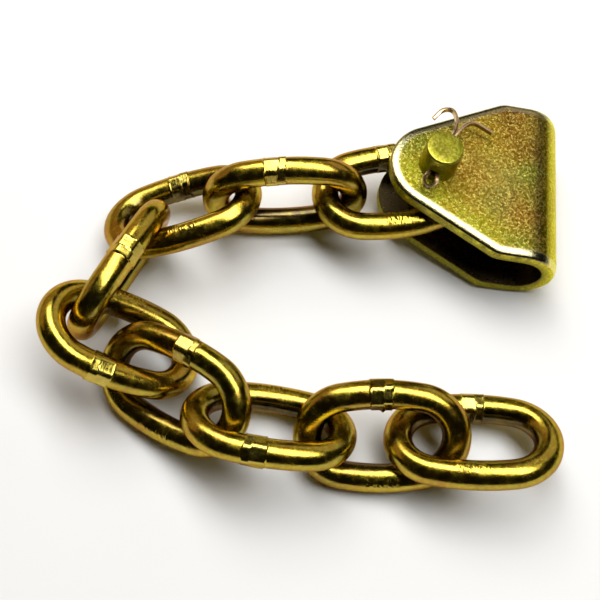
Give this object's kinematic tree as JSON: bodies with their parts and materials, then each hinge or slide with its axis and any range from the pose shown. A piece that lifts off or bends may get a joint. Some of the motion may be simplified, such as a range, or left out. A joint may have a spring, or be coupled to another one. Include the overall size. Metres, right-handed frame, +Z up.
{
  "type": "chain with clevis bracket",
  "caption": "Short chain of heavy welded oval links in yellow-plated steel, hung on a clevis pin with a cotter pin in a bent-plate U bracket with a wide round bight.",
  "frame": {"origin": "on the floor under the middle of the whole piece as it lies", "axes": "+X along the lay's longest extent, towards the bracket's bight; +Y from the free end's side of the lay to the bracket's side; +Z up from the floor"},
  "size_m": [0.1898, 0.1452, 0.0464],
  "materials": {
    "chain_plating": "yellow chromate over zinc, glossy, with brown and green tints",
    "bracket_plating": "yellow chromate over zinc, satin and grainy, with red-brown and olive patches",
    "pin_plating": "yellow-green chromate over zinc, satin turned steel",
    "cotter_plating": "yellow chromate over zinc on drawn wire"
  },
  "bodies": {
    "bracket": {"bracket": "bracket_plating"},
    "clevis_pin": {"clevis_pin": "pin_plating", "cotter_pin": "cotter_plating"},
    "link_1": {"chain_link_1": "chain_plating"},
    "link_2": {"chain_link_2": "chain_plating"},
    "link_3": {"chain_link_3": "chain_plating"},
    "link_4": {"chain_link_4": "chain_plating"},
    "link_5": {"chain_link_5": "chain_plating"},
    "link_6": {"chain_link_6": "chain_plating"},
    "link_7": {"chain_link_7": "chain_plating"},
    "link_8": {"chain_link_8": "chain_plating"},
    "link_9": {"chain_link_9": "chain_plating"}
  },
  "joints": [
    {"name": "clevis_pin_turn", "type": "hinge", "parent": "bracket", "child": "clevis_pin", "pos_m": [0.044, 0.0435, 0.01894], "axis": [0.1176, -0.0134, 0.993], "continuous": true},
    {"name": "link_1_swing", "type": "hinge", "parent": "bracket", "child": "link_1", "pos_m": [0.044, 0.0435, 0.01894], "axis": [0.1176, -0.0134, 0.993], "range_deg": [-80, 70]},
    {"name": "link_2_swing", "type": "hinge", "parent": "link_1", "child": "link_2", "pos_m": [0.00554, 0.0377, 0.01984], "axis": [0.1096, -0.9914, 0.0714], "range_deg": [-85, 80]},
    {"name": "link_3_swing", "type": "hinge", "parent": "link_2", "child": "link_3", "pos_m": [-0.02292, 0.03658, 0.02249], "axis": [0.0558, 0.9319, -0.3583], "range_deg": [-35, 90]},
    {"name": "link_4_swing", "type": "hinge", "parent": "link_3", "child": "link_4", "pos_m": [-0.05629, 0.02711, 0.02674], "axis": [-0.1015, -0.6201, 0.7779], "range_deg": [0, 80]},
    {"name": "link_5_swing", "type": "hinge", "parent": "link_4", "child": "link_5", "pos_m": [-0.0782, -0.00271, 0.02152], "axis": [-0.8505, 0.0031, 0.526], "range_deg": [-65, 25]},
    {"name": "link_6_swing", "type": "hinge", "parent": "link_5", "child": "link_6", "pos_m": [-0.06681, -0.02, 0.01462], "axis": [-0.5839, -0.5131, -0.6291], "range_deg": [-45, 75]},
    {"name": "link_7_swing", "type": "hinge", "parent": "link_6", "child": "link_7", "pos_m": [-0.02819, -0.052, 0.01738], "axis": [0.5839, 0.5131, 0.6291], "range_deg": [-90, 35]},
    {"name": "link_8_swing", "type": "hinge", "parent": "link_7", "child": "link_8", "pos_m": [0.01059, -0.05221, 0.01285], "axis": [0.0548, 0.8169, -0.5742], "range_deg": [-50, 40]},
    {"name": "link_9_swing", "type": "hinge", "parent": "link_8", "child": "link_9", "pos_m": [0.04897, -0.05013, 0.01735], "axis": [-0.2633, 0.7885, 0.5557], "range_deg": [0, 90]}
  ]
}
